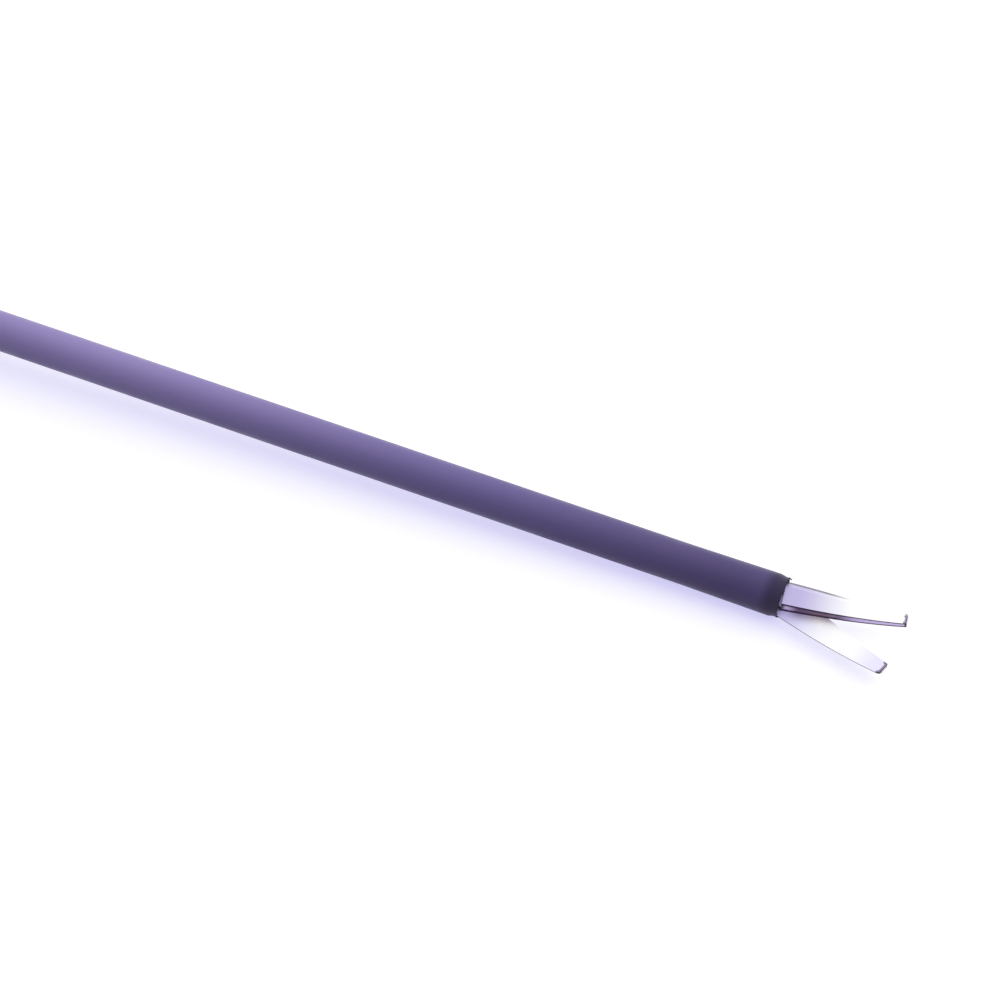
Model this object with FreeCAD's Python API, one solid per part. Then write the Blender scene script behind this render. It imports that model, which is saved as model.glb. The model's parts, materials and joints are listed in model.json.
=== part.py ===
"""Laparoscopic scissors with an insulated 5 mm shaft, two double-action blades and a ring handle.

Millimetres. +X runs along the shaft towards the blades, +Z is the normal of the handle's rings,
and the origin is on the shaft's axis at the front face of the rotation knob.
"""
import FreeCAD, Part
import math
import os

from FreeCAD import Vector

# Cutting shapes run this far past the faces they open
over = 1.0

# Shaft
working_length = 330.0
shaft_d = 5.0
insulation_wall = 0.30
tube_wall = 0.40
rod_d = 2.2
mouth_flare_length = 12.0
mouth_swell = 0.12
mouth_bore_growth = 0.20
mouth_bore_taper = 4.0
mouth_lip_length = 1.1
mouth_lip_wall = 0.07
mouth_lip_straight = 0.35

# Jaw: places are measured from the pivot, which lies behind the sleeve's mouth
pivot_setback = 1.2
jaw_length = 14.8
rest_angle_upper = 7.3
rest_angle_lower = 19.3
pivot_pin_d = 1.0
drive_pin_d = 0.7
drive_arm_closed = 3.8
drive_travel = 2.06
drive_beyond_rest = 0.09
cam_clearance = 0.05
cam_wall = 0.25
cam_end_clearance = 0.05
tang_thickness = 0.80
blade_gap = 0.03
pivot_boss_r = 1.20
pin_running_clearance = 0.03

# Blade: half widths to the back and to the cutting edge, at the sleeve's mouth and at the end
back_width_mouth = 2.00
back_width_end = 0.70
back_width_power = 1.35
cut_width_mouth = 1.93
cut_width_end = 1.00
cut_width_power = 1.27
blade_thickness_mouth = 1.50
blade_thickness_end = 0.75
blade_bow = 0.90
blade_bow_power = 3.0
back_edge_thickness = 0.15
back_bevel_angle = 43.0
cut_face_lean = 4.0
blade_end_round = 0.60
end_round_rise = 0.02
blade_envelope_r = 2.42
mouth_clearance = 0.08
blade_stations = 7

# Clevis and yoke
fork_side_clearance = 0.06
clevis_seat_clearance = 0.02
clevis_length = 7.0
clevis_spigot = 5.0
clevis_slot_back = 5.6
clevis_thick_back = 0.95
clevis_nose_r = 1.10
nose_clearance = 0.15
yoke_d = 3.0
yoke_clearance = 0.05
yoke_nose = 0.60
yoke_slot_depth = 3.2
yoke_socket = 2.6
rod_in_yoke = 2.0

# Knob and hub
knob_length = 22.0
knob_d = 23.0
knob_nose_d = 12.0
knob_flutes = 9
knob_flute_r = 3.4
knob_flute_depth = 1.5
knob_flute_runout = 2.2
knob_mouth_depth = 1.0
knob_mouth_d = 6.8
knob_edge_round = 1.2
knob_cone_share = 0.42
groove_depth = 0.2
groove_length = 1.5
groove_in_recess = 0.2
sleeve_in_knob = 4.5
hub_d = 10.0
journal_d = 8.0
hub_tube_socket = 11.5
rod_bore_clearance = 0.05
journal_past_bush = 3.5
ring_groove_depth = 0.8
retaining_ring_t = 0.9
retaining_ring_d = 10.0
retaining_ring_gap_angle = 12.0
seal_length = 2.0
seal_d = 4.6
set_screw_d = 2.5
set_screw_bite = 1.0

# Bush in the handle
bush_wall = 1.2
bush_length = 12.3
bush_flange_t = 0.8
bush_flange_d = 13.0
journal_clearance = 0.03
thrust_clearance = 0.10
knob_handle_gap = 0.4

# Handle housing
housing_length = 43.0
housing_top = 10.5
housing_half_t = 9.0
housing_wall = 3.0
housing_round = 2.6
housing_corner_r = 4.0
back_corner_x = 9.0
back_corner_y = 6.0
boss_cover = 2.0
housing_front_bottom = 14.0
cavity_top = 6.2
cavity_back_wall = 6.0
grip_half_t = 4.5
grip_round = 3.0

# Lever
lever_arm = 8.5
ball_d = 4.8
ball_behind_bush = 11.8
ball_pocket_clearance = 0.15
fork_prong = 2.6
fork_reach = 3.5
fork_slot_floor = 3.2
rod_slot_half = 1.6
lever_boss_r = 7.0
lever_boss_gap = 0.6
swing_margin_angle = 1.0
swing_reach = 21.0
axle_d = 4.0
axle_clearance = 0.05
axle_head_d = 7.6
axle_head_t = 1.6
washer_d = 10.0
washer_clearance = 0.05

# Rings
ring_band = 8.5
finger_ring_a = 12.5
finger_ring_b = 17.0
finger_ring_x = -36.0
finger_ring_y = -72.0
thumb_ring_a = 12.0
thumb_ring_b = 14.5
thumb_reach = 69.8
thumb_angle_closed = 61.8
arm_width_top = 15.0
arm_width_ring = 11.0
neck_width = 12.0
arm_blend_r = 7.0
arm_setback = 1.0
arm_overlap = 3.0

# Connector
connector_d = 4.0
connector_stem_d = 3.0
connector_length = 8.0
connector_collar_d = 8.0
connector_collar_rise = 3.0
connector_from_back = 10.9
spring_t = 0.3
spring_w = 4.6
spring_contact_gap = 0.10
spring_past_ring = 0.6
spring_fall_length = 4.0
spring_toe_length = 1.2
spring_behind_stem = 2.5

# Cover screws
screw_d = 2.2
screw_head_d = 4.2
screw_head_t = 1.1
screw_length = 10.0
screw_slot_w = 0.6
screw_slot_t = 0.5
screw_bush_gap = 0.3
axle_slot_w = 1.2

# Radii and places that follow from the sizes above
shaft_r = shaft_d / 2
tube_r = shaft_r - insulation_wall
tube_bore_r = tube_r - tube_wall
x_mouth = working_length
x_pivot = x_mouth - pivot_setback
mouth_bore_r = tube_r + mouth_bore_growth
x_drive = x_pivot - drive_arm_closed + drive_travel
open_share = 1 + drive_beyond_rest / drive_travel
cam_half = drive_pin_d / 2 + cam_clearance
tang_half = cam_half + cam_wall
fork_half_gap = tang_thickness + blade_gap / 2 + fork_side_clearance
x_blade_root = clevis_nose_r + nose_clearance
x_tube_end = x_pivot - clevis_length
x_hub_front = -sleeve_in_knob
x_knob_back = -knob_length
x_flange = x_knob_back - knob_handle_gap
x_housing = x_flange - bush_flange_t
x_bush_back = x_housing - bush_length
x_journal_end = x_bush_back - journal_past_bush
x_housing_back = x_housing - housing_length
x_ball = x_bush_back - ball_behind_bush
x_connector = x_housing_back + connector_from_back
y_axle = -lever_arm
bush_bore_r = journal_d / 2 + journal_clearance
bush_r = bush_bore_r + bush_wall
cavity_half_t = housing_half_t - housing_wall
closing_turn = math.degrees(drive_travel / lever_arm)
thumb_angle_rest = thumb_angle_closed - closing_turn
thumb_angle_open = thumb_angle_closed - closing_turn * open_share


def disc(r, x, y, z0, z1):
    """A cylinder along Z."""
    return Part.makeCylinder(r, z1 - z0, Vector(x, y, z0))


def rod_x(r, x0, x1):
    """A cylinder along the shaft."""
    return Part.makeCylinder(r, x1 - x0, Vector(x0, 0, 0), Vector(1, 0, 0))


def block(x0, x1, y0, y1, z0, z1):
    return Part.makeBox(x1 - x0, y1 - y0, z1 - z0, Vector(x0, y0, z0))


def turned(points):
    """A solid of revolution about the shaft's axis from (x, radius) points of its half section."""
    wire = Part.makePolygon([Vector(x, r, 0) for x, r in points + points[:1]])
    return Part.Face(wire).revolve(Vector(0, 0, 0), Vector(1, 0, 0), 360)


def plate(points, z0, z1):
    """A straight-edged outline in the XY plane, made thick from z0 to z1."""
    wire = Part.makePolygon([Vector(x, y, z0) for x, y in points + points[:1]])
    return Part.Face(wire).extrude(Vector(0, 0, z1 - z0))


def oval(x, y, a, b, z0, z1):
    """An elliptical prism with half axes a along X and b along Y."""
    major, minor = max(a, b), min(a, b)
    curve = Part.Ellipse(Vector(x, y, z0), major, minor)
    edge = curve.toShape()
    if b > a:
        edge.rotate(Vector(x, y, z0), Vector(0, 0, 1), 90)
    return Part.Face(Part.Wire([edge])).extrude(Vector(0, 0, z1 - z0))


def edges_at_height(solid, z, tolerance=0.01):
    """Edges that lie wholly at one height."""
    return [e for e in solid.Edges
            if abs(e.BoundBox.ZMin - z) < tolerance and abs(e.BoundBox.ZMax - z) < tolerance]


def rounded(solid, radius, *heights):
    edges = [e for z in heights for e in edges_at_height(solid, z)]
    return solid.makeFillet(radius, edges)


def one_solid(shape):
    shape = shape.removeSplitter()
    return shape.Solids[0] if len(shape.Solids) == 1 else shape


# Shaft

def insulation_sleeve():
    """Plastic tube that swells towards its mouth and is drawn in over its last millimetre."""
    x_flare = x_mouth - mouth_flare_length
    x_lip = x_mouth - mouth_lip_length
    swell_r = shaft_r + mouth_swell
    x_rim = x_mouth - mouth_lip_straight
    lip_r = mouth_bore_r + mouth_lip_wall
    groove_r = shaft_r - groove_depth
    x_groove = groove_in_recess - knob_mouth_depth
    x_behind = x_groove - groove_length
    lines = [
        (x_hub_front, tube_r), (x_hub_front, shaft_r), (x_behind, shaft_r), (x_behind, groove_r),
        (x_groove, groove_r), (x_groove, shaft_r), (x_flare, shaft_r),
    ]
    points = [Vector(x, r, 0) for x, r in lines]
    edges = [Part.makeLine(a, b) for a, b in zip(points, points[1:])]
    swell_end = Vector(x_lip, swell_r, 0)
    third = mouth_flare_length / 3
    flare = Part.BezierCurve()
    flare.setPoles([points[-1], Vector(x_flare + third, shaft_r, 0),
                    Vector(x_lip - third, swell_r, 0), swell_end])
    edges.append(flare.toShape())
    rim = Vector(x_rim, lip_r, 0)
    x_bend = (x_lip + x_rim) / 2
    shoulder = Part.BezierCurve()
    shoulder.setPoles([swell_end, Vector(x_bend, swell_r, 0), Vector(x_bend, lip_r, 0), rim])
    edges.append(shoulder.toShape())
    inner = [rim, Vector(x_mouth, lip_r, 0), Vector(x_mouth, mouth_bore_r, 0),
             Vector(x_mouth - mouth_bore_taper, tube_r, 0), points[0]]
    edges += [Part.makeLine(a, b) for a, b in zip(inner, inner[1:])]
    face = Part.Face(Part.Wire(edges))
    return face.revolve(Vector(0, 0, 0), Vector(1, 0, 0), 360)


def outer_tube():
    x_start = x_hub_front - hub_tube_socket
    return rod_x(tube_r, x_start, x_tube_end).cut(rod_x(tube_bore_r, x_start, x_tube_end))


def jaw_clevis():
    """Fork welded into the tube's end. Its arms carry the pivot pin and guide the yoke behind it."""
    outer_r = tube_r - clevis_seat_clearance
    bore_r = yoke_d / 2 + yoke_clearance
    x_back = x_tube_end - clevis_spigot
    x_nose = x_pivot + clevis_nose_r
    body = turned([(x_back, bore_r), (x_back, tube_bore_r), (x_tube_end, tube_bore_r),
                   (x_tube_end, outer_r), (x_pivot - clevis_thick_back, outer_r),
                   (x_pivot - clevis_thick_back, bore_r)])
    arms = rod_x(outer_r, x_pivot - clevis_thick_back, x_nose)
    nose = disc(clevis_nose_r, x_pivot, 0, -shaft_r, shaft_r)
    shoulders = block(x_pivot - clevis_thick_back, x_pivot, -shaft_r, shaft_r, -shaft_r, shaft_r)
    arms = arms.common(nose.fuse(shoulders))
    slot = block(x_pivot - clevis_slot_back, x_nose, -shaft_r, shaft_r,
                 -fork_half_gap, fork_half_gap)
    hole = disc(pivot_pin_d / 2, x_pivot, 0, -shaft_r, shaft_r)
    return one_solid(body.fuse(arms).cut(slot).cut(hole))


def jaw_pivot_pin():
    """Riveted pin, its ends flush with the clevis arms."""
    half = math.sqrt((tube_r - clevis_seat_clearance) ** 2 - (pivot_pin_d / 2) ** 2)
    pin = disc(pivot_pin_d / 2, x_pivot, 0, -half, half)
    return rounded(pin, pivot_pin_d / 8, -half, half)


# Blades: made closed with the pivot at the origin, then turned and placed

def cam_point(rest_angle, share, offset):
    """A point beside the drive pin's path in a blade. The share is 0 closed and 1 at rest."""
    arm = drive_arm_closed - drive_travel * share
    turn = math.radians(rest_angle)
    a = turn * share
    along = Vector(drive_travel * math.cos(a) + arm * turn * math.sin(a),
                   -drive_travel * math.sin(a) + arm * turn * math.cos(a), 0).normalize()
    return Vector(-arm * math.cos(a) - along.y * offset, arm * math.sin(a) + along.x * offset, 0)


def cam_prism(rest_angle, half_width, z0, z1):
    """Stadium that follows the drive pin's path, long enough for its whole travel."""
    extra = cam_end_clearance / drive_travel
    stops = (-extra, open_share / 2, open_share + extra)
    left = [cam_point(rest_angle, share, half_width) for share in stops]
    right = [cam_point(rest_angle, share, -half_width) for share in stops]
    sides = [Part.Arc(*left).toShape(), Part.makeLine(left[2], right[2]),
             Part.Arc(*reversed(right)).toShape(), Part.makeLine(right[0], left[0])]
    prism = Part.Face(Part.Wire(sides)).extrude(Vector(0, 0, z1 - z0))
    prism.translate(Vector(0, 0, z0))
    for share in (stops[0], stops[2]):
        end = cam_point(rest_angle, share, 0)
        prism = prism.fuse(disc(half_width, end.x, end.y, z0, z1))
    return prism


def blade_share(x):
    """0 at the sleeve's mouth and 1 at the blade's end."""
    return max(0.0, (x - pivot_setback) / jaw_length)


def back_width(x):
    return back_width_mouth - (back_width_mouth - back_width_end) * blade_share(x) ** back_width_power


def cut_width(x):
    return cut_width_mouth - (cut_width_mouth - cut_width_end) * blade_share(x) ** cut_width_power


def blade_section(x, z0):
    """Section with a straight contact face, a leaning cut face and a bevelled back."""
    share = (x - pivot_setback) / jaw_length
    thickness = blade_thickness_mouth + (blade_thickness_end - blade_thickness_mouth) * share
    back, cut = back_width(x), cut_width(x)
    bevel = (thickness - back_edge_thickness) / math.tan(math.radians(back_bevel_angle))
    lean = thickness * math.tan(math.radians(cut_face_lean))
    corners = [(-cut, 0), (back, 0), (back, back_edge_thickness), (back - bevel, thickness),
               (lean - cut, thickness)]
    return Part.makePolygon([Vector(x, y, z0 + z) for y, z in corners + corners[:1]])


def blade(rest_angle, bow):
    """Blade, root and slotted tang in one piece, on its contact face and bowed towards its end."""
    z0 = blade_gap / 2
    z1 = z0 + tang_thickness
    x_end = pivot_setback + jaw_length
    step = (x_end - x_blade_root) / (blade_stations - 1)
    stations = [x_blade_root + i * step for i in range(blade_stations)]
    sections = [blade_section(x, z0 + bow * blade_share(x) ** blade_bow_power) for x in stations]
    jaw = Part.makeLoft(sections, True, False)
    jaw = jaw.common(rod_x(blade_envelope_r, 0, x_end + over))
    jaw = jaw.common(end_outline(x_end, bow))
    root = plate([(0, -pivot_boss_r), (x_blade_root, -cut_width(x_blade_root)),
                  (x_blade_root, back_width(x_blade_root) - tang_thickness),
                  (0, pivot_boss_r)], z0, z1)
    boss = disc(pivot_boss_r, 0, 0, z0, z1)
    tang = cam_prism(rest_angle, tang_half, z0, z1)
    solid = jaw.fuse([root, boss, tang])
    solid = solid.cut(cam_prism(rest_angle, cam_half, z0 - over, z1 + over))
    solid = solid.cut(disc(pivot_pin_d / 2 + pin_running_clearance, 0, 0, z0 - over, z1 + over))
    return one_solid(solid.cut(mouth_space(rest_angle)))


def mouth_space(rest_angle):
    """The sleeve's mouth and a clearance, as the widest open blade sees them."""
    reach = pivot_setback + mouth_clearance
    ring = rod_x(shaft_d, 0, reach).cut(rod_x(mouth_bore_r - mouth_clearance, 0, reach))
    ring.rotate(Vector(0, 0, 0), Vector(0, 0, 1), -rest_angle * open_share)
    return ring


def end_outline(x_end, bow):
    """Prism with an end square to the bowed blade: sharp at the cut side, round at the back."""
    end_slope = bow * blade_bow_power / jaw_length
    wide = 3 * back_width_mouth
    deep = -shaft_r
    r = blade_end_round
    x_round = x_end - r
    y_round = back_width(x_round) + end_round_rise - r
    line = [Vector(x_round, y_round + r, deep), Vector(x_round, wide, deep), Vector(0, wide, deep),
            Vector(0, -wide, deep), Vector(x_end, -wide, deep), Vector(x_end, y_round, deep)]
    edges = [Part.makeLine(a, b) for a, b in zip(line, line[1:])]
    middle = Vector(x_round + r * math.sqrt(0.5), y_round + r * math.sqrt(0.5), deep)
    edges.append(Part.Arc(line[-1], middle, line[0]).toShape())
    prism = Part.Face(Part.Wire(edges)).extrude(Vector(-end_slope * shaft_d, 0, shaft_d))
    prism.translate(Vector(end_slope * (bow - deep), 0, 0))
    return prism


def blade_upper():
    solid = blade(rest_angle_upper, blade_bow)
    solid.rotate(Vector(0, 0, 0), Vector(0, 0, 1), rest_angle_upper)
    solid.translate(Vector(x_pivot, 0, 0))
    return solid


def blade_lower():
    """The other blade, turned over about the shaft's axis and bowed to the same side."""
    solid = blade(rest_angle_lower, -blade_bow)
    solid.rotate(Vector(0, 0, 0), Vector(1, 0, 0), 180)
    solid.rotate(Vector(0, 0, 0), Vector(0, 0, 1), -rest_angle_lower)
    solid.translate(Vector(x_pivot, 0, 0))
    return solid


# Push rod with its yoke and drive pin

def drive_yoke():
    """Fork on the rod's end. Its arms straddle both tangs and hold the drive pin."""
    r = yoke_d / 2
    x_front = x_drive + yoke_nose
    x_slot = x_drive - yoke_slot_depth
    x_back = x_slot - yoke_socket
    body = rod_x(r, x_back, x_front)
    body = body.cut(block(x_slot, x_front, -r, r, -fork_half_gap, fork_half_gap))
    body = body.cut(rod_x(rod_d / 2, x_back, x_back + rod_in_yoke))
    return body.cut(disc(drive_pin_d / 2, x_drive, 0, -r, r))


def drive_pin():
    half = math.sqrt((yoke_d / 2) ** 2 - (drive_pin_d / 2) ** 2)
    return disc(drive_pin_d / 2, x_drive, 0, -half, half)


def push_rod():
    x_front = x_drive - yoke_slot_depth - yoke_socket + rod_in_yoke
    return rod_x(rod_d / 2, x_ball - ball_d / 4, x_front)


def ball_end():
    """Ball screwed on the rod, held in the lever's fork."""
    ball = Part.makeSphere(ball_d / 2, Vector(x_ball, 0, 0))
    return ball.cut(rod_x(rod_d / 2, x_ball - ball_d / 4, x_ball + ball_d))


# Knob and hub

def rotation_knob():
    """Moulded knob with scalloped finger flutes and a tapered nose."""
    r, nose_r = knob_d / 2, knob_nose_d / 2
    hub_r, mouth_r = hub_d / 2, knob_mouth_d / 2
    x_cone = -knob_length * knob_cone_share
    body = turned([(x_knob_back, hub_r), (x_knob_back, r - knob_edge_round),
                   (x_knob_back + knob_edge_round, r), (x_cone, r), (-knob_edge_round, nose_r),
                   (0, nose_r - knob_edge_round), (0, mouth_r), (-knob_mouth_depth, mouth_r),
                   (-knob_mouth_depth, shaft_r), (x_hub_front, shaft_r), (x_hub_front, hub_r)])
    reach = r + knob_flute_r - knob_flute_depth
    x_runout = x_knob_back + knob_edge_round
    ahead = Vector(1, 0, 0)
    for i in range(knob_flutes):
        a = 2 * math.pi * (i + 0.5) / knob_flutes
        back = Vector(x_runout, reach * math.cos(a), reach * math.sin(a))
        cone = Part.makeCone(knob_flute_r - knob_flute_runout, knob_flute_r, knob_flute_runout,
                             back, ahead)
        start = back + ahead * knob_flute_runout
        flute = Part.makeCylinder(knob_flute_r, knob_length, start, ahead)
        body = body.cut(flute.fuse(cone))
    return body.cut(set_screw_bore())


def set_screw_bore():
    """Radial hole for the screw that locks the knob on the hub."""
    x = (x_knob_back + x_hub_front) / 2
    return disc(set_screw_d / 2, x, 0, hub_d / 2 - set_screw_bite, knob_d)


def knob_set_screw():
    x = (x_knob_back + x_hub_front) / 2
    length = (knob_d - hub_d) / 2 - knob_flute_depth
    foot = hub_d / 2 - set_screw_bite
    screw = disc(set_screw_d / 2, x, 0, foot, foot + length)
    return screw.cut(disc(set_screw_d / 4, x, 0, foot + length - set_screw_d / 2, foot + length))


def tube_hub():
    """Steel hub: knob seat in front, journal behind, with bores for the tube, rod and seal."""
    r, j, t = hub_d / 2, journal_d / 2, tube_r
    x_seat = x_flange + thrust_clearance
    x_socket = x_hub_front - hub_tube_socket
    x_groove = x_bush_back - thrust_clearance
    g = j - ring_groove_depth
    rod_bore = rod_d / 2 + rod_bore_clearance
    x_seal = (x_socket + x_journal_end) / 2
    s = seal_d / 2
    body = turned([(x_hub_front, t), (x_hub_front, r), (x_seat, r), (x_seat, j), (x_groove, j),
                   (x_groove, g), (x_groove - retaining_ring_t, g), (x_groove - retaining_ring_t, j),
                   (x_journal_end, j), (x_journal_end, rod_bore), (x_seal - seal_length / 2, rod_bore),
                   (x_seal - seal_length / 2, s), (x_seal + seal_length / 2, s),
                   (x_seal + seal_length / 2, rod_bore), (x_socket, rod_bore), (x_socket, t)])
    return body.cut(set_screw_bore())


def rod_seal():
    """Silicone seal in the hub that wipes the rod."""
    x_seal = (x_hub_front - hub_tube_socket + x_journal_end) / 2
    x0, x1 = x_seal - seal_length / 2, x_seal + seal_length / 2
    return rod_x(seal_d / 2, x0, x1).cut(rod_x(rod_d / 2 + pin_running_clearance, x0, x1))


def retaining_ring():
    """Open spring ring in the journal's groove."""
    x1 = x_bush_back - thrust_clearance
    x0 = x1 - retaining_ring_t
    inner = journal_d / 2 - ring_groove_depth
    ring = rod_x(retaining_ring_d / 2, x0, x1).cut(rod_x(inner, x0, x1))
    half = inner * math.sin(math.radians(retaining_ring_gap_angle))
    return ring.cut(block(x0, x1, -half, half, -retaining_ring_d, 0))


def front_bush():
    """Flanged bearing pressed into the handle, in which the hub's journal turns."""
    return turned([(x_bush_back, bush_bore_r), (x_bush_back, bush_r), (x_housing, bush_r),
                   (x_housing, bush_flange_d / 2), (x_flange, bush_flange_d / 2),
                   (x_flange, bush_bore_r)])


# Handle

def housing_block():
    """Outer form of the linkage housing, before it is hollowed and split."""
    x0, x1 = x_housing, x_housing_back
    low = y_axle - lever_boss_r - boss_cover
    points = [(x0, housing_top), (x1 + back_corner_x, housing_top), (x1, housing_top - back_corner_y),
              (x1, y_axle + boss_cover), (x_ball - lever_boss_r - boss_cover, low),
              (x_ball + lever_boss_r, low), (x0, -housing_front_bottom)]
    body = plate(points, -housing_half_t, housing_half_t)
    upright = [e for e in body.Edges if e.BoundBox.ZLength > housing_half_t
               and e.BoundBox.XMax < x0 - housing_corner_r]
    body = body.makeFillet(housing_corner_r, upright)
    return rounded(body, housing_round, -housing_half_t, housing_half_t)


def thumb_direction(angle):
    a = math.radians(angle)
    return Vector(-math.cos(a), -math.sin(a), 0)


def linkage_cavity():
    """Space for the lever's fork and boss, open where the lever swings out."""
    z = cavity_half_t
    boss_r = lever_boss_r + lever_boss_gap
    room = block(x_housing_back + cavity_back_wall, x_bush_back, y_axle, cavity_top, -z, z)
    room = room.fuse(disc(boss_r, x_ball, y_axle, -z, z))
    near = neck_width / 2 + lever_boss_gap
    axle = Vector(x_ball, y_axle, 0)
    closed = thumb_direction(thumb_angle_closed + swing_margin_angle)
    opened = thumb_direction(thumb_angle_open - swing_margin_angle)
    front = axle + Vector(-closed.y, closed.x, 0) * near
    rear = axle + Vector(opened.y, -opened.x, 0) * near
    corners = [front, front + closed * swing_reach, rear + opened * swing_reach, rear]
    return room.fuse(plate([(p.x, p.y) for p in corners], -z, z))


def screw_places():
    """Cover screws: two in the front block and one in the back wall."""
    x_front = x_housing - bush_length / 2
    rise = bush_r + screw_head_d / 2 + screw_bush_gap
    return [(x_front, rise), (x_front, -rise),
            (x_housing_back + cavity_back_wall / 2, housing_top - back_corner_y)]


def screw_shape(x, y):
    top = housing_half_t
    shank = disc(screw_d / 2, x, y, top - screw_length, top)
    head = Part.makeCone(screw_d / 2, screw_head_d / 2, screw_head_t,
                         Vector(x, y, top - screw_head_t))
    return shank.fuse(head)


def cover_screws():
    """Three countersunk screws in one group."""
    made = []
    for x, y in screw_places():
        half = screw_head_d / 2
        slot = block(x - half, x + half, y - screw_slot_w / 2, y + screw_slot_w / 2,
                     housing_half_t - screw_slot_t, housing_half_t)
        made.append(screw_shape(x, y).cut(slot).removeSplitter())
    return Part.makeCompound(made)


def axle_shape():
    """Shoulder screw on which the lever turns."""
    top, r = housing_half_t, axle_d / 2
    shank = disc(r, x_ball, y_axle, -top, top - axle_head_t)
    return shank.fuse(disc(axle_head_d / 2, x_ball, y_axle, top - axle_head_t, top))


def lever_axle():
    r, half = axle_head_d / 2, axle_slot_w / 2
    slot = block(x_ball - r, x_ball + r, y_axle - half, y_axle + half,
                 housing_half_t - axle_head_t / 2, housing_half_t)
    return one_solid(axle_shape().cut(slot))


def grip_ring(cx, cy, a, b, x_top, y_top, top_width):
    """Ring and arm cut from one thick plate, with every long edge rounded."""
    z0, z1 = -grip_half_t, grip_half_t
    direction = Vector(x_top - cx, y_top - cy, 0).normalize()
    side = Vector(-direction.y, direction.x, 0)
    top, low = Vector(x_top, y_top, 0), Vector(cx, cy, 0)
    corners = [top + side * (top_width / 2), low + side * (arm_width_ring / 2),
               low - side * (arm_width_ring / 2), top - side * (top_width / 2)]
    solid = oval(cx, cy, a + ring_band, b + ring_band, z0, z1)
    solid = solid.fuse(plate([(p.x, p.y) for p in corners], z0, z1)).removeSplitter()
    near = max(a, b) + 2 * ring_band
    joint = [e for e in solid.Edges if e.BoundBox.ZLength > grip_half_t
             and math.hypot(e.CenterOfMass.x - cx, e.CenterOfMass.y - cy) < near]
    solid = solid.makeFillet(arm_blend_r, joint)
    solid = solid.cut(oval(cx, cy, a, b, z0, z1))
    return rounded(solid, grip_round, z0, z1)


def hollowed_housing():
    body = housing_block().cut(linkage_cavity())
    body = body.cut(rod_x(bush_r, x_bush_back, x_housing))
    body = body.cut(axle_shape())
    for x, y in screw_places():
        body = body.cut(screw_shape(x, y))
    return body.cut(connector_bore())


def cover_space():
    """All that lies above the parting face between the housing and its cover."""
    wide = housing_length
    return block(x_housing_back - over, x_housing + over, -wide, wide,
                 cavity_half_t, housing_half_t + over)


def handle_body():
    """Housing floor, fixed arm and finger ring, moulded as one piece."""
    floor = hollowed_housing().cut(cover_space())
    x_top = x_housing - arm_width_top / 2 - arm_setback
    grip = grip_ring(finger_ring_x, finger_ring_y, finger_ring_a, finger_ring_b,
                     x_top, arm_overlap - housing_front_bottom, arm_width_top)
    grip = grip.cut(linkage_cavity())
    return one_solid(floor.fuse(grip))


def handle_cover():
    """Flat cover over the linkage, with the housing's rounded edge."""
    return one_solid(hollowed_housing().common(cover_space()))


def thumb_lever():
    """Thumb ring, neck, boss and the fork that holds the rod's ball, moulded as one piece."""
    z = grip_half_t
    way = thumb_direction(thumb_angle_rest)
    cx, cy = x_ball + way.x * thumb_reach, y_axle + way.y * thumb_reach
    grip = grip_ring(cx, cy, thumb_ring_a, thumb_ring_b, x_ball, y_axle, neck_width)
    boss = disc(lever_boss_r, x_ball, y_axle, -z, z)
    pocket = ball_d / 2 + ball_pocket_clearance
    half = pocket + fork_prong
    fork = block(x_ball - half, x_ball + half, y_axle, fork_reach, -z, z)
    solid = grip.fuse([boss, fork])
    solid = solid.cut(block(x_ball - pocket, x_ball + pocket, -fork_slot_floor, fork_reach,
                            -pocket, pocket))
    solid = solid.cut(block(x_ball, x_ball + half + over, -fork_slot_floor, fork_reach,
                            -rod_slot_half, rod_slot_half))
    solid = solid.cut(disc(axle_d / 2 + axle_clearance, x_ball, y_axle, -z, z))
    return one_solid(solid)


def lever_washers():
    """Two thrust washers beside the lever's boss."""
    made = []
    for z0, z1 in ((grip_half_t + washer_clearance, cavity_half_t),
                   (-cavity_half_t, -grip_half_t - washer_clearance)):
        ring = disc(washer_d / 2, x_ball, y_axle, z0, z1)
        made.append(ring.cut(disc(axle_d / 2, x_ball, y_axle, z0, z1)))
    return Part.makeCompound(made)


# Connector for the high-frequency cable

def rod_y(r, x, y0, y1):
    return Part.makeCylinder(r, y1 - y0, Vector(x, y0, 0), Vector(0, 1, 0))


def connector_bore():
    return rod_y(connector_collar_d / 2, x_connector, cavity_top, housing_top + over)


def connector_collar():
    """Insulating collar round the pin's stem."""
    top = housing_top + connector_collar_rise
    collar = rod_y(connector_collar_d / 2, x_connector, cavity_top, top)
    top_edges = [e for e in collar.Edges if abs(e.BoundBox.YMin - top) < 0.01]
    collar = collar.makeFillet(connector_collar_rise / 4, top_edges)
    return collar.cut(rod_y(connector_stem_d / 2, x_connector, cavity_top, top))


def connector_pin():
    """Plug pin with a rounded end on a thinner stem."""
    foot = cavity_top - spring_t
    shoulder = housing_top + connector_collar_rise
    stem = rod_y(connector_stem_d / 2, x_connector, foot, shoulder)
    pin = rod_y(connector_d / 2, x_connector, shoulder, shoulder + connector_length)
    tip = [e for e in pin.Edges if abs(e.BoundBox.YMin - shoulder - connector_length) < 0.01]
    pin = pin.makeFillet(connector_d / 4, tip)
    return one_solid(stem.fuse(pin))


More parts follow.
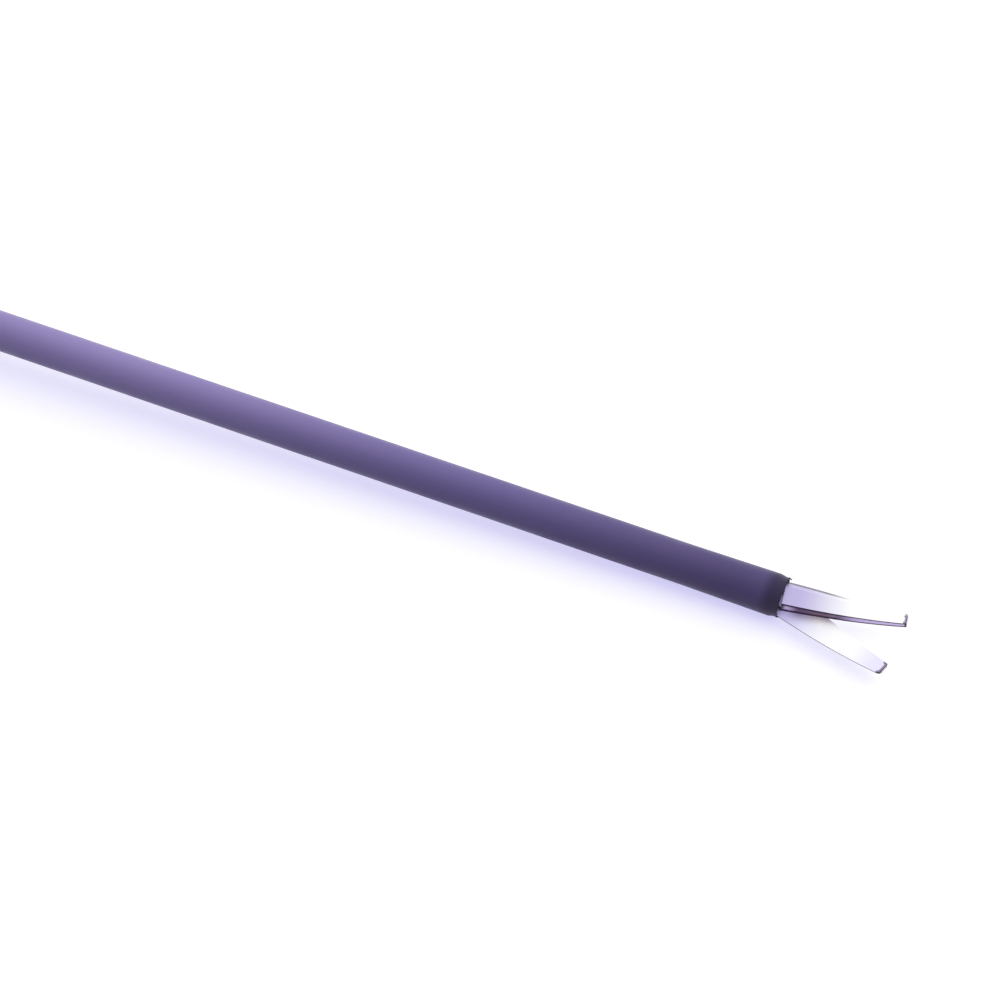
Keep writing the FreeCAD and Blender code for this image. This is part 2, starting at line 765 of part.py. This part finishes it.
def contact_spring():
    """Leaf spring from the connector's foot to the journal."""
    top = cavity_top
    low = top - spring_t
    x_start = x_connector - spring_behind_stem
    x_end = x_bush_back - retaining_ring_t - 2 * thrust_clearance - spring_past_ring
    x_toe = x_end - spring_toe_length
    x_bend = x_end - spring_fall_length
    y_end = journal_d / 2 + spring_contact_gap
    mitre = spring_t / 4
    half = spring_w / 2
    leaf = [(x_start, low), (x_bend, low), (x_toe, y_end), (x_end, y_end), (x_end, y_end + spring_t),
            (x_toe + mitre, y_end + spring_t), (x_bend + mitre, top), (x_start, top)]
    solid = plate(leaf, -half, half)
    return solid.cut(rod_y(connector_stem_d / 2, x_connector, low - over, top + over))


pieces = [
    insulation_sleeve, outer_tube, jaw_clevis, jaw_pivot_pin, blade_upper, blade_lower,
    drive_yoke, drive_pin, push_rod, ball_end, rotation_knob, knob_set_screw, tube_hub, rod_seal,
    retaining_ring, front_bush, handle_body, handle_cover, cover_screws, thumb_lever, lever_axle,
    lever_washers, connector_collar, connector_pin, contact_spring,
]


def main():
    os.makedirs("parts", exist_ok=True)
    for make in pieces:
        shape = make()
        shape.exportStep("parts/" + make.__name__ + ".step")
        box = shape.BoundBox
        print(make.__name__, "solids", len(shape.Solids), "valid", shape.isValid(),
              "volume %.3f" % shape.Volume, "x %.2f..%.2f" % (box.XMin, box.XMax),
              "y %.2f..%.2f" % (box.YMin, box.YMax), "z %.2f..%.2f" % (box.ZMin, box.ZMax))
    print("closing turn of the lever %.4f deg, open limit %.4f deg" %
          (closing_turn, closing_turn * (open_share - 1)))


main()
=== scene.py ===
"""Looks, light, floor and camera for the laparoscopic scissors. Metres, in the row frame."""

import json
import math

import bmesh
import bpy
from mathutils import Matrix, Vector


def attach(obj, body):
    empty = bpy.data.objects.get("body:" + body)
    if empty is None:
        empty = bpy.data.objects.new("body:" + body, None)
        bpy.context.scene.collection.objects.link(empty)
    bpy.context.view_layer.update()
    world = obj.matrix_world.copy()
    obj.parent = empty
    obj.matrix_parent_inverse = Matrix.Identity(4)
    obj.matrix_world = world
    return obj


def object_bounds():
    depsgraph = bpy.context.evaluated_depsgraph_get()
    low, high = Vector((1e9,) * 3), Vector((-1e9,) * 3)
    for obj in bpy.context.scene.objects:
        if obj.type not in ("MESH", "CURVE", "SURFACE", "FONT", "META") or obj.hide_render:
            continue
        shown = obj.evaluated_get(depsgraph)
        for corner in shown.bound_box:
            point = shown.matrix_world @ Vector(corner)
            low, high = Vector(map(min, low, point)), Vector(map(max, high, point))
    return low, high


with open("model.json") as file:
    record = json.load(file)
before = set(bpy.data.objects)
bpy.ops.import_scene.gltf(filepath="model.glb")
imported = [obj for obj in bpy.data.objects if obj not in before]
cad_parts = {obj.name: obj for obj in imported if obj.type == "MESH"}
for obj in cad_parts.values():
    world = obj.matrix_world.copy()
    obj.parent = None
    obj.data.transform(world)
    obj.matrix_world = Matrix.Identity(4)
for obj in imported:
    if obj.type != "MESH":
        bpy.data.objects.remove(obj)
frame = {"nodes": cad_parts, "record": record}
cad_low, cad_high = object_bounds()

# Places on the instrument that the looks follow
MM = 0.001
MOUTH_X = 330 * MM
JAW_PIVOT_X = 328.8 * MM
PIVOT_SETBACK = 1.2 * MM
JAW_LENGTH = 14.8 * MM
BLADE_BOW = 0.9 * MM
BLADE_BOW_POWER = 3.0
UPPER_ANGLE = 7.3
LOWER_ANGLE = -19.3
CENTRE_OF_MASS = (0.007, -0.016)

# Camera: angles of the view against the jaw's plane and the shaft, in degrees
VIEW_ELEVATION = 52.0
VIEW_AZIMUTH = 22.23
SHAFT_SLOPE = 1.6
JAW_ROLL = 7.0
IMAGE_SIDE = 1000
FOCAL_PX = 2516.4
SCALE_PX_PER_MM = 8.436
MOUTH_U = 783.1
MOUTH_V = 597.5
SENSOR_WIDTH = 36.0
CLIP_NEAR = 0.01
CLIP_FAR = 50.0

# Light: the cool ambient and the wide lamp together make plain white on the table
AMBIENT_COLOUR = (0.34, 0.33, 0.39)
AMBIENT_LEVEL = 1.0
KEY_COLOUR = (0.986, 1.0, 0.914)
KEY_LEVEL = 2.79
KEY_ELEVATION = 52.0
KEY_AZIMUTH = 165.0
KEY_ANGLE = 100.0

# Table top: white to the eye with a pale violet shadow, a middle grey for the light it throws back
FLOOR_GLOW = (0.56, 0.54, 0.85)
FLOOR_WHITE = 1.08
FLOOR_GREY = 0.42
FLOOR_SIDE = 8.0

# Sleeve: colour at its knob end, then stretches along X, each with the colour it leads to.
# The stretches are painted light and shade: paler towards the knob, darker towards the mouth,
# with painted shade on the shoulder and near-black painted shade on the rim's end face
SLEEVE_START = (0.185, 0.153, 0.325)
SLEEVE_PAINTED_SHADING = (
    (100.0 * MM, 235.0 * MM, (0.235, 0.192, 0.415)),
    (235.0 * MM, 295.0 * MM, (0.130, 0.105, 0.265)),
    (285.0 * MM, 326.0 * MM, (0.056, 0.043, 0.128)),
    (327.2 * MM, 328.8 * MM, (0.014, 0.010, 0.034)),
    (329.80 * MM, 329.95 * MM, (0.004, 0.003, 0.008)),
)
SLEEVE_PATCHES = (0.26, 0.20, 0.44)
SLEEVE_GLOSS_TINT = (0.80, 0.66, 1.0)
SLEEVE_SHEEN_TINT = (0.72, 0.58, 1.0)

# Blades: colours
STEEL_WHITE = (0.97, 0.97, 0.98)
UNDERSIDE = (0.95, 0.95, 1.0)
SMUDGE = (0.45, 0.40, 0.62)
# Painted shade line where the back is bevelled away
BACK_SHADE_LINE = (0.10, 0.08, 0.13)
# Painted shade for the band at the blade's end, a chamfer the mesh lacks
END_BAND_SHADE = (0.46, 0.38, 0.62)
# Painted dark reflection for the lines along the blades' edges
DARK_REFLECTION_LINE = (0.022, 0.010, 0.034)
# Narrow faces: painted highlight near the root, painted dark reflection, paler painted reflection
# further out
SIDE_ROOT_HIGHLIGHT = (0.80, 0.66, 0.80)
SIDE_DARK_REFLECTION = (0.20, 0.115, 0.20)
SIDE_PALE_REFLECTION = (0.60, 0.50, 0.80)

# Blades: stretches along them from the pivot, over which a look comes or goes
# Where the painted highlight on the narrow faces gives way
SIDE_HIGHLIGHT_ENDS = (1.8 * MM, 3.4 * MM)
POLISH_GROWS = (2.0 * MM, 9.0 * MM)
SMUDGE_ENDS = (5.0 * MM, 10.0 * MM)
BACK_SHADE_LINE_ENDS = (6.0 * MM, 9.5 * MM)
SIDE_CLEARS = (6.0 * MM, 11.0 * MM)
TIP_TINT = (11.0 * MM, 15.0 * MM)
END_BAND_STARTS = (15.42 * MM, 15.58 * MM)

# Blades: heights over the sliding plane, places across and edge widths
BACK_SHADE_LINE_RISE = (0.50 * MM, 0.80 * MM)
CUT_SIDE = (-0.4 * MM, 0.9 * MM)
END_EDGE = 0.44 * MM
SIDE_EDGE_ROOT = 0.85 * MM
SIDE_EDGE_TIP = 0.46 * MM

# Two torn flaps of insulation on the sleeve's mouth
LIP_R = 2.45 * MM
LIP_ANGLES = (29.0, 209.0)
LIP_HALF_WIDTH = 7.0
LIP_LENGTH = 0.38 * MM
LIP_OVERLAP = 0.06 * MM
LIP_THICKNESS = 0.14 * MM
LIP_CURL = -0.16 * MM
LIP_STEPS = 6
LIP_ACROSS = 8
LIP_RAGGED = 0.18
LIP_WAVES = 5
LIP_NARROWING = 0.45
LIP_THINNING = 0.3
LIP_ROUNDING = 0.35


# Material building

class Nodes:
    """A material's node tree, with a short call for each kind of node used here."""

    SOCKETS = {
        "colour": "Base Color", "metallic": "Metallic", "roughness": "Roughness",
        "specular": "Specular IOR Level", "specular_tint": "Specular Tint",
        "sheen": "Sheen Weight", "sheen_roughness": "Sheen Roughness", "sheen_tint": "Sheen Tint",
    }

    def __init__(self, name):
        self.material = bpy.data.materials.new(name)
        self.material.use_nodes = True
        self.tree = self.material.node_tree
        self.tree.nodes.clear()
        self.out = self.add("ShaderNodeOutputMaterial")
        self.shader = self.add("ShaderNodeBsdfPrincipled")
        self.link(self.shader.outputs["BSDF"], self.out.inputs["Surface"])

    def add(self, kind, **fields):
        node = self.tree.nodes.new(kind)
        for key, value in fields.items():
            setattr(node, key, value)
        return node

    def link(self, source, target):
        self.tree.links.new(source, target)

    def feed(self, value, socket):
        """Sets a socket to a number or a colour, or links another node's output to it."""
        if isinstance(value, (int, float)):
            socket.default_value = value
        elif isinstance(value, tuple):
            socket.default_value = (*value, 1.0)
        else:
            self.link(value, socket)

    def set(self, **values):
        for key, value in values.items():
            self.feed(value, self.shader.inputs[self.SOCKETS[key]])

    def coords(self):
        return self.add("ShaderNodeTexCoord").outputs["Object"]

    def part_of(self, vector, axis):
        split = self.add("ShaderNodeSeparateXYZ")
        self.link(vector, split.inputs["Vector"])
        return split.outputs[axis]

    def axis(self, axis):
        """A place along one axis of the piece's own frame."""
        return self.part_of(self.coords(), axis)

    def piece_normal(self, axis):
        """One axis of the surface's direction, measured in the piece's own frame."""
        turn = self.add("ShaderNodeVectorTransform", vector_type="NORMAL",
                        convert_from="WORLD", convert_to="OBJECT")
        normal = self.add("ShaderNodeNewGeometry").outputs["True Normal"]
        self.link(normal, turn.inputs["Vector"])
        return self.part_of(turn.outputs["Vector"], axis)

    def math(self, operation, a, b=0.0):
        """A sum or the like of two numbers, each a plain one or a node's output."""
        node = self.add("ShaderNodeMath", operation=operation)
        self.feed(a, node.inputs[0])
        self.feed(b, node.inputs[1])
        return node.outputs[0]

    def product(self, *values):
        result = values[0]
        for value in values[1:]:
            result = self.math("MULTIPLY", result, value)
        return result

    def ramp(self, value, low, high, to_low=0.0, to_high=1.0):
        """Goes smoothly from to_low to to_high while the value goes from low to high."""
        node = self.add("ShaderNodeMapRange", interpolation_type="SMOOTHSTEP")
        self.feed(value, node.inputs["Value"])
        node.inputs["From Min"].default_value = low
        node.inputs["From Max"].default_value = high
        node.inputs["To Min"].default_value = to_low
        node.inputs["To Max"].default_value = to_high
        return node.outputs["Result"]

    def mix(self, share, a, b):
        """Colour a, or b where the share is 1."""
        node = self.add("ShaderNodeMix", data_type="RGBA")
        self.feed(share, node.inputs[0])
        self.feed(a, node.inputs[6])
        self.feed(b, node.inputs[7])
        return node.outputs[2]

    def noise(self, scale, detail=3.0, stretch=None):
        """Uneven pattern in the piece's own frame, with about scale cells to a metre."""
        node = self.add("ShaderNodeTexNoise")
        node.inputs["Scale"].default_value = scale
        node.inputs["Detail"].default_value = detail
        source = self.coords()
        if stretch:
            mapping = self.add("ShaderNodeMapping")
            mapping.inputs["Scale"].default_value = stretch
            self.link(source, mapping.inputs["Vector"])
            source = mapping.outputs["Vector"]
        self.link(source, node.inputs["Vector"])
        return node.outputs["Fac"]

    def bump(self, height, strength, distance):
        node = self.add("ShaderNodeBump")
        node.inputs["Strength"].default_value = strength
        node.inputs["Distance"].default_value = distance
        self.link(height, node.inputs["Height"])
        self.link(node.outputs["Normal"], self.shader.inputs["Normal"])

    def turning(self, radius, samples=8):
        """How far the surface turns within a radius: 0 on a flat, up to 0.3 at a sharp edge."""
        bevel = self.add("ShaderNodeBevel", samples=samples)
        bevel.inputs["Radius"].default_value = radius
        facing = self.add("ShaderNodeVectorMath", operation="DOT_PRODUCT")
        self.link(bevel.outputs["Normal"], facing.inputs[0])
        self.link(self.add("ShaderNodeNewGeometry").outputs["True Normal"], facing.inputs[1])
        return self.math("SUBTRACT", 1.0, facing.outputs["Value"])

    def edge(self, radius, low=0.002, high=0.012):
        """1 beside a sharp edge of the piece and 0 away from it."""
        return self.ramp(self.turning(radius), low, high)

    def seen(self):
        """1 for the rays that show a surface, straight or in a mirror or a glass."""
        path = self.add("ShaderNodeLightPath").outputs
        straight = self.math("MAXIMUM", path["Is Camera Ray"], path["Is Glossy Ray"])
        return self.math("MAXIMUM", straight, path["Is Transmission Ray"])


def plastic(name, dark, light, roughness):
    """Moulded plastic: eroded grain, faint patches, edges smoother from wear and lighter from wear
    and a painted highlight.
    """
    n = Nodes(name)
    specks = tuple(c * 1.6 for c in light)
    worn_and_highlight = tuple(c * 1.9 + 0.015 for c in light)
    grain = n.noise(2200.0, 2.0)
    colour = n.mix(n.ramp(n.noise(60.0), 0.35, 0.7), dark, light)
    colour = n.mix(n.ramp(grain, 0.55, 0.75, 0.0, 0.35), colour, specks)
    uneven = n.ramp(n.noise(240.0), 0.40, 0.70, 0.15, 0.75)
    # Edges: smoother from wear; their lighter colour is wear and a painted highlight
    rubbed_and_highlit = n.product(n.edge(0.8 * MM, 0.01, 0.12), uneven)
    rough = n.ramp(n.noise(140.0), 0.3, 0.7, roughness - 0.05, roughness + 0.07)
    n.set(colour=n.mix(rubbed_and_highlit, colour, worn_and_highlight), metallic=0.0, specular=0.40,
          roughness=n.math("SUBTRACT", rough, n.product(rubbed_and_highlit, 0.10)))
    n.bump(grain, 0.5, 0.05 * MM)
    return n.material


def steel(name, colour, tint, roughness, stretch):
    """Turned or ground steel: fine marks along one direction, duller patches, a painted highlight
    on the edges.
    """
    n = Nodes(name)
    scratch = tuple(c * 0.75 for c in tint)
    # Painted highlight: sharp edges lightened
    edge_highlight = tuple(min(1.0, c * 1.25) for c in colour)
    marks = n.noise(900.0, 4.0, stretch)
    base = n.mix(n.ramp(n.noise(120.0), 0.3, 0.75), colour, tint)
    base = n.mix(n.ramp(marks, 0.45, 0.75, 0.0, 0.25), base, scratch)
    n.set(colour=n.mix(n.edge(0.2 * MM, 0.01, 0.12), base, edge_highlight), metallic=1.0,
          roughness=n.ramp(marks, 0.3, 0.7, roughness - 0.05, roughness + 0.08))
    n.bump(marks, 0.12, 0.01 * MM)
    return n.material


def sleeve_plastic():
    """Satin violet insulation. Painted shade makes it darker towards its torn mouth and darkest at
    the rim.
    """
    n = Nodes("insulation")
    x = n.axis("X")
    shade = SLEEVE_START
    # Painted light and shade along the shaft, from the knob end to the rim
    for start, end, colour in SLEEVE_PAINTED_SHADING:
        shade = n.mix(n.ramp(x, start, end), shade, colour)
    patches = n.ramp(n.noise(45.0, 3.0, (0.4, 1.0, 1.0)), 0.35, 0.7, 0.0, 0.08)
    n.set(colour=n.mix(patches, shade, SLEEVE_PATCHES), metallic=0.0,
          specular=0.35, specular_tint=SLEEVE_GLOSS_TINT,
          sheen=0.34, sheen_roughness=0.35, sheen_tint=SLEEVE_SHEEN_TINT,
          roughness=n.ramp(n.noise(260.0), 0.3, 0.7, 0.36, 0.48))
    n.bump(n.noise(1500.0, 2.0, (0.25, 1.0, 1.0)), 0.3, 0.02 * MM)
    return n.material


def blade_steel(name, angle, painted_root_shade, painted_cut_side_tone, tip_colour, clears):
    """Polished blade at its angle from the shaft. Its narrow faces carry painted dark reflection.

    The root has a painted shade tint, going over to another painted tone on the cut side, and
    clears to white along the blade.
    """
    n = Nodes(name)
    cos, sin = math.cos(math.radians(angle)), math.sin(math.radians(angle))
    x, y = n.math("SUBTRACT", n.axis("X"), JAW_PIVOT_X), n.axis("Y")
    along = n.math("ADD", n.product(x, cos), n.product(y, sin))
    across = n.math("SUBTRACT", n.product(y, cos), n.product(x, sin))
    share = n.product(n.math("SUBTRACT", along, PIVOT_SETBACK), 1.0 / JAW_LENGTH)
    curve = n.math("POWER", n.math("MAXIMUM", share, 0.0), BLADE_BOW_POWER)
    rise = n.math("SUBTRACT", n.axis("Z"), n.product(curve, BLADE_BOW))
    facing = n.piece_normal("Z")
    slope = n.math("ABSOLUTE", facing)
    flat = n.ramp(slope, 0.30, 0.40)

    # Broad faces: painted shade tint, smudges, a painted shade line on the bevelled back, the pale
    # underside
    # Painted shade at the root, lavender near the mouth, clearing to white along the blade
    face = n.mix(n.ramp(across, *CUT_SIDE), painted_root_shade, painted_cut_side_tone)
    face = n.mix(n.ramp(along, *clears), face, STEEL_WHITE)
    face = n.mix(n.ramp(along, *TIP_TINT), face, tip_colour)
    smudges = n.product(n.ramp(n.noise(260.0), 0.45, 0.75), n.ramp(along, *SMUDGE_ENDS, 0.20, 0.0))
    face = n.mix(smudges, face, SMUDGE)
    # Painted shade line on the bevelled back, fading out along the blade
    back = n.product(n.ramp(slope, 0.80, 0.90, 1.0, 0.0), n.ramp(rise, *BACK_SHADE_LINE_RISE, 0.85, 0.0),
                     n.ramp(along, *BACK_SHADE_LINE_ENDS, 1.0, 0.0))
    face = n.mix(back, face, BACK_SHADE_LINE)
    face = n.mix(n.ramp(facing, -0.6, -0.3, 1.0, 0.0), face, UNDERSIDE)

    # Painted chamfer along the end: a band of painted shade
    # between an inner and an outer painted dark reflection line
    turning = n.turning(END_EDGE, 16)
    tip = n.ramp(along, *END_BAND_STARTS)
    inner = n.product(n.ramp(turning, 0.001, 0.003), n.ramp(turning, 0.022, 0.036, 1.0, 0.0))
    lines = n.math("MAXIMUM", inner, n.ramp(turning, 0.10, 0.18))
    face = n.mix(n.product(tip, n.ramp(turning, 0.010, 0.016)), face, END_BAND_SHADE)
    face = n.mix(n.product(tip, lines), face, DARK_REFLECTION_LINE)

    # Narrow faces: painted highlight near the root, painted dark reflection, paler painted
    # reflection further out, dark painted reflection lines along the edges
    far = n.ramp(along, *SIDE_CLEARS)
    side = n.mix(n.ramp(along, *SIDE_HIGHLIGHT_ENDS), SIDE_ROOT_HIGHLIGHT, SIDE_DARK_REFLECTION)
    side = n.mix(far, side, SIDE_PALE_REFLECTION)
    # Painted dark reflection lines along the narrow faces' edges
    side = n.mix(n.mix(far, n.edge(SIDE_EDGE_ROOT), n.edge(SIDE_EDGE_TIP)), side, DARK_REFLECTION_LINE)

    duller = n.product(flat, n.ramp(along, *POLISH_GROWS, 0.40, 0.10))
    n.set(colour=n.mix(flat, side, face), metallic=n.math("SUBTRACT", 0.85, duller),
          roughness=n.ramp(n.noise(700.0, 4.0, (0.15, 1.0, 1.0)), 0.3, 0.7, 0.30, 0.42))
    n.bump(n.noise(1200.0, 3.0, (1.0, 0.12, 1.0)), 0.08, 0.01 * MM)
    return n.material


MATERIALS = {
    "insulation": sleeve_plastic(),
    "steel": steel(
        "steel", (0.62, 0.63, 0.66), (0.52, 0.52, 0.56), 0.30, (0.1, 1.0, 1.0)),
    # Upper blade: painted shade at the root, the same on the cut side, near white at the tip
    "blade_steel": blade_steel(
        "blade_steel", UPPER_ANGLE, (0.48, 0.43, 0.70), (0.48, 0.43, 0.70), (0.96, 0.95, 1.0),
        (2.5 * MM, 10.5 * MM)),
    "housing_plastic": plastic(
        "housing_plastic", (0.030, 0.029, 0.034), (0.045, 0.043, 0.050), 0.42),
    "knob_plastic": plastic(
        "knob_plastic", (0.085, 0.086, 0.098), (0.115, 0.115, 0.130), 0.44),
    "bush_bronze": steel(
        "bush_bronze", (0.56, 0.40, 0.20), (0.45, 0.31, 0.16), 0.34, (1.0, 0.1, 0.1)),
    "washer_plastic": plastic(
        "washer_plastic", (0.78, 0.78, 0.76), (0.70, 0.70, 0.68), 0.50),
    "seal_rubber": plastic(
        "seal_rubber", (0.34, 0.35, 0.37), (0.29, 0.30, 0.32), 0.60),
    "collar_plastic": plastic(
        "collar_plastic", (0.055, 0.055, 0.062), (0.075, 0.075, 0.082), 0.40),
    "contact_metal": steel(
        "contact_metal", (0.74, 0.75, 0.77), (0.66, 0.67, 0.70), 0.18, (1.0, 0.1, 1.0)),
}
# Lower blade: lighter painted shade at the root, painted light on the cut side under the upper
# blade, light violet towards the tip
LOWER_BLADE = blade_steel(
    "blade_steel_lower", LOWER_ANGLE, (0.59, 0.57, 0.89), (0.97, 0.97, 1.0), (0.81, 0.78, 0.97),
    (2.0 * MM, 9.5 * MM))

slot_of = {part["node"]: part["material_slot"] for part in frame["record"]["subparts"]}
for name, node in frame["nodes"].items():
    node.data.materials.clear()
    node.data.materials.append(LOWER_BLADE if name == "blade_lower" else MATERIALS[slot_of[name]])


# Torn flaps

def lip_point(r, t, u, middle_angle):
    """Point of a flap at radius r: t runs from root to end, u from -1 to 1 across."""
    angle = math.radians(middle_angle + LIP_HALF_WIDTH * u * (1.0 - LIP_NARROWING * t * t))
    outwards = 1 if r > LIP_R else -1
    reach = r + LIP_CURL * t * t - LIP_THICKNESS * LIP_THINNING * t * outwards
    ragged = 1.0 - LIP_RAGGED * math.cos(LIP_WAVES * u + middle_angle) * t
    x = MOUTH_X - LIP_OVERLAP + LIP_LENGTH * t * ragged * (1.0 - LIP_ROUNDING * u * u)
    return x, reach * math.cos(angle), reach * math.sin(angle)


def torn_lip(name, middle_angle):
    """Thin flap on the rim, narrowing to a ragged end that curls inwards."""
    mesh = bmesh.new()
    inner, outer = (
        [[mesh.verts.new(lip_point(r, i / LIP_STEPS, 2 * j / LIP_ACROSS - 1, middle_angle))
          for j in range(LIP_ACROSS + 1)] for i in range(LIP_STEPS + 1)]
        for r in (LIP_R - LIP_THICKNESS / 2, LIP_R + LIP_THICKNESS / 2))
    for i in range(LIP_STEPS):
        for j in range(LIP_ACROSS):
            mesh.faces.new((inner[i][j], inner[i + 1][j], inner[i + 1][j + 1], inner[i][j + 1]))
            mesh.faces.new((outer[i][j], outer[i][j + 1], outer[i + 1][j + 1], outer[i + 1][j]))
        for j, flip in ((0, False), (LIP_ACROSS, True)):
            side = [inner[i][j], outer[i][j], outer[i + 1][j], inner[i + 1][j]]
            mesh.faces.new(side[::-1] if flip else side)
    for j in range(LIP_ACROSS):
        for i, flip in ((0, True), (LIP_STEPS, False)):
            side = [inner[i][j], outer[i][j], outer[i][j + 1], inner[i][j + 1]]
            mesh.faces.new(side[::-1] if flip else side)
    bmesh.ops.recalc_face_normals(mesh, faces=mesh.faces)
    data = bpy.data.meshes.new(name)
    mesh.to_mesh(data)
    mesh.free()
    data.materials.append(MATERIALS["insulation"])
    for polygon in data.polygons:
        polygon.use_smooth = True
    lip = bpy.data.objects.new(name, data)
    bpy.context.scene.collection.objects.link(lip)
    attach(lip, "rotor")


for number, angle in enumerate(LIP_ANGLES):
    torn_lip("torn_lip_%d" % number, angle)


# Floor: the plane on which the instrument lies, found from its own lowest points

def table_top():
    """White paper with a fine grain. Half its white is its own when seen, so shadows stay pale."""
    n = Nodes("table_top")
    n.set(colour=(FLOOR_GREY, FLOOR_GREY, FLOOR_GREY), roughness=0.9, specular=0.0)
    n.bump(n.noise(900.0, 2.0), 0.05, 0.02 * MM)
    glow = n.add("ShaderNodeEmission")
    glow.inputs["Color"].default_value = (*FLOOR_GLOW, 1.0)
    glow.inputs["Strength"].default_value = 1.0
    lit = n.add("ShaderNodeBsdfDiffuse")
    lit.inputs["Color"].default_value = (*(FLOOR_WHITE - c for c in FLOOR_GLOW), 1.0)
    both = n.add("ShaderNodeAddShader")
    n.link(glow.outputs[0], both.inputs[0])
    n.link(lit.outputs[0], both.inputs[1])
    choose = n.add("ShaderNodeMixShader")
    n.link(n.seen(), choose.inputs[0])
    n.link(n.shader.outputs[0], choose.inputs[1])
    n.link(both.outputs[0], choose.inputs[2])
    n.link(choose.outputs[0], n.out.inputs["Surface"])
    return n.material


def resting_plane(centre):
    """A point and the upward normal of the hull facet under the centre of mass."""
    shell = bmesh.new()
    for node in frame["nodes"].values():
        shell.from_mesh(node.data)
    for face in list(shell.faces):
        shell.faces.remove(face)
    for edge in list(shell.edges):
        shell.edges.remove(edge)
    bmesh.ops.convex_hull(shell, input=shell.verts)
    bmesh.ops.triangulate(shell, faces=shell.faces)
    best = None
    for face in shell.faces:
        if face.normal.z > -0.9:
            continue
        a, b, c = (v.co for v in face.verts)
        turn = [(q.x - p.x) * (centre[1] - p.y) - (q.y - p.y) * (centre[0] - p.x)
                for p, q in ((a, b), (b, c), (c, a))]
        if all(t <= 0 for t in turn) or all(t >= 0 for t in turn):
            best = (a.copy(), -face.normal)
    shell.free()
    return best


point, up = resting_plane(CENTRE_OF_MASS)
middle = (cad_low + cad_high) / 2
middle = middle - up * (middle - point).dot(up)

floor_mesh = bpy.data.meshes.new("floor")
shape = bmesh.new()
bmesh.ops.create_grid(shape, x_segments=1, y_segments=1, size=FLOOR_SIDE / 2)
shape.to_mesh(floor_mesh)
shape.free()
floor = bpy.data.objects.new("floor", floor_mesh)
bpy.context.scene.collection.objects.link(floor)
floor.rotation_mode = "QUATERNION"
floor.rotation_quaternion = up.to_track_quat("Z", "Y")
floor.location = middle
floor_mesh.materials.append(table_top())


# World and lamp

def direction(azimuth, elevation):
    a, e = math.radians(azimuth), math.radians(elevation)
    return Vector((math.sin(a) * math.cos(e), -math.cos(a) * math.cos(e), math.sin(e)))


world = bpy.data.worlds.new("world")
bpy.context.scene.world = world
world.use_nodes = True
tree = world.node_tree
tree.nodes.clear()
world_out = tree.nodes.new("ShaderNodeOutputWorld")
ambient = tree.nodes.new("ShaderNodeBackground")
ambient.inputs["Color"].default_value = (*AMBIENT_COLOUR, 1.0)
ambient.inputs["Strength"].default_value = AMBIENT_LEVEL
white = tree.nodes.new("ShaderNodeBackground")
white.inputs["Color"].default_value = (1.0, 1.0, 1.0, 1.0)
path = tree.nodes.new("ShaderNodeLightPath")
seen = tree.nodes.new("ShaderNodeMath")
seen.operation = "MAXIMUM"
tree.links.new(path.outputs["Is Camera Ray"], seen.inputs[0])
tree.links.new(path.outputs["Is Glossy Ray"], seen.inputs[1])
choose = tree.nodes.new("ShaderNodeMixShader")
tree.links.new(seen.outputs[0], choose.inputs[0])
tree.links.new(ambient.outputs[0], choose.inputs[1])
tree.links.new(white.outputs[0], choose.inputs[2])
tree.links.new(choose.outputs[0], world_out.inputs["Surface"])

lamp = bpy.data.lights.new("key", "SUN")
lamp.energy = KEY_LEVEL
lamp.color = KEY_COLOUR
lamp.angle = math.radians(KEY_ANGLE)
key = bpy.data.objects.new("key", lamp)
key.visible_glossy = False
bpy.context.scene.collection.objects.link(key)
key.rotation_mode = "QUATERNION"
key.rotation_quaternion = direction(KEY_AZIMUTH, KEY_ELEVATION).to_track_quat("Z", "Y")


# Camera

def photo_camera():
    """Camera whose picture shows the sleeve's mouth at its place, at its scale and slope."""
    azimuth = math.radians(VIEW_AZIMUTH)
    back = direction(VIEW_AZIMUTH, VIEW_ELEVATION)
    right = Vector((math.cos(azimuth), math.sin(azimuth), 0))
    upward = back.cross(right)
    slope = Matrix.Rotation(math.radians(SHAFT_SLOPE), 3, "Y")
    roll = Matrix.Rotation(math.radians(JAW_ROLL), 3, "X")
    lie = (slope @ roll).transposed()
    back, right, upward = (lie @ v for v in (back, right, upward))
    distance = FOCAL_PX / SCALE_PX_PER_MM * MM
    across = (MOUTH_U - IMAGE_SIDE / 2) / FOCAL_PX * distance
    down = (MOUTH_V - IMAGE_SIDE / 2) / FOCAL_PX * distance
    data = bpy.data.cameras.new("camera")
    data.sensor_width = SENSOR_WIDTH
    data.lens = FOCAL_PX / IMAGE_SIDE * SENSOR_WIDTH
    data.clip_start, data.clip_end = CLIP_NEAR, CLIP_FAR
    camera = bpy.data.objects.new("camera", data)
    bpy.context.scene.collection.objects.link(camera)
    camera.rotation_mode = "QUATERNION"
    camera.location = Vector((MOUTH_X, 0, 0)) - right * across + upward * down + back * distance
    camera.rotation_quaternion = Matrix((right, upward, back)).transposed().to_quaternion()
    return camera


bpy.context.scene.camera = photo_camera()
bpy.context.scene.view_settings.view_transform = "Standard"
